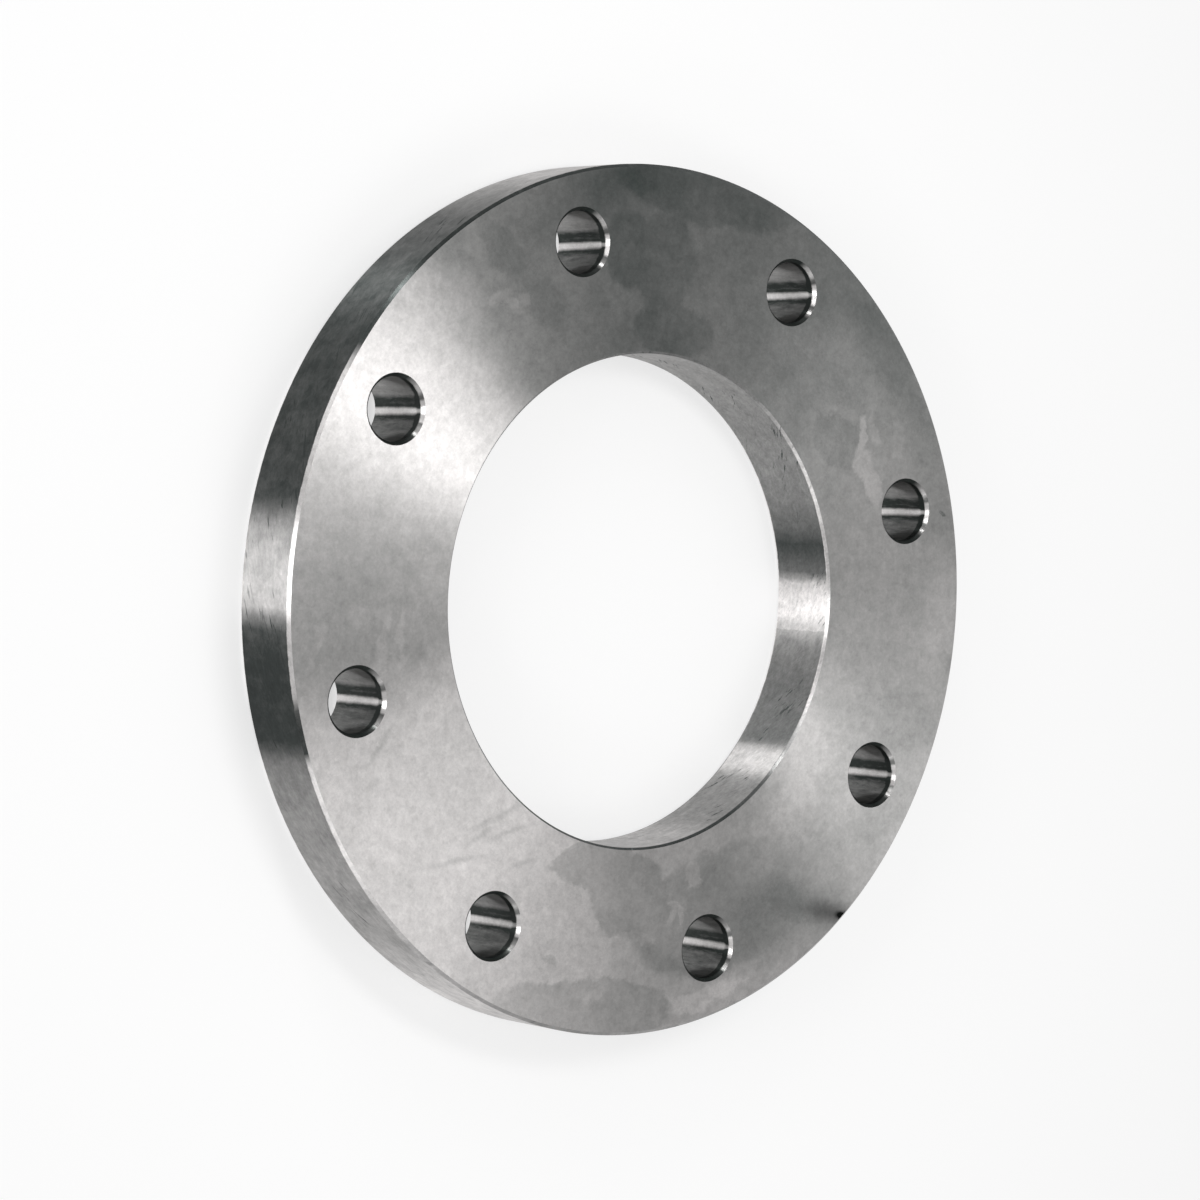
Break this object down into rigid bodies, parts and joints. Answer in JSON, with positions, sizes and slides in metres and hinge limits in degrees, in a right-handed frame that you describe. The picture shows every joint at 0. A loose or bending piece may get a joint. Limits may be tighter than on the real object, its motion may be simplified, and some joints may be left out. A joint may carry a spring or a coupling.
{
  "type": "lap joint flange",
  "caption": "Flat steel backing ring with a plain bore and a circle of bolt holes, slipped loose over a pipe's stub end.",
  "frame": {"origin": "centre of the ring's lower flat face, on the bore's axis", "axes": "+Z along the bore's axis, out of the upper face; the bolt holes straddle +X and +Y"},
  "size_m": [0.25, 0.25, 0.023],
  "materials": {
    "turned_steel": "lathe-turned and drilled mild steel, lightly stained and scuffed"
  },
  "bodies": {
    "root": {"flange_ring": "turned_steel"}
  },
  "joints": []
}
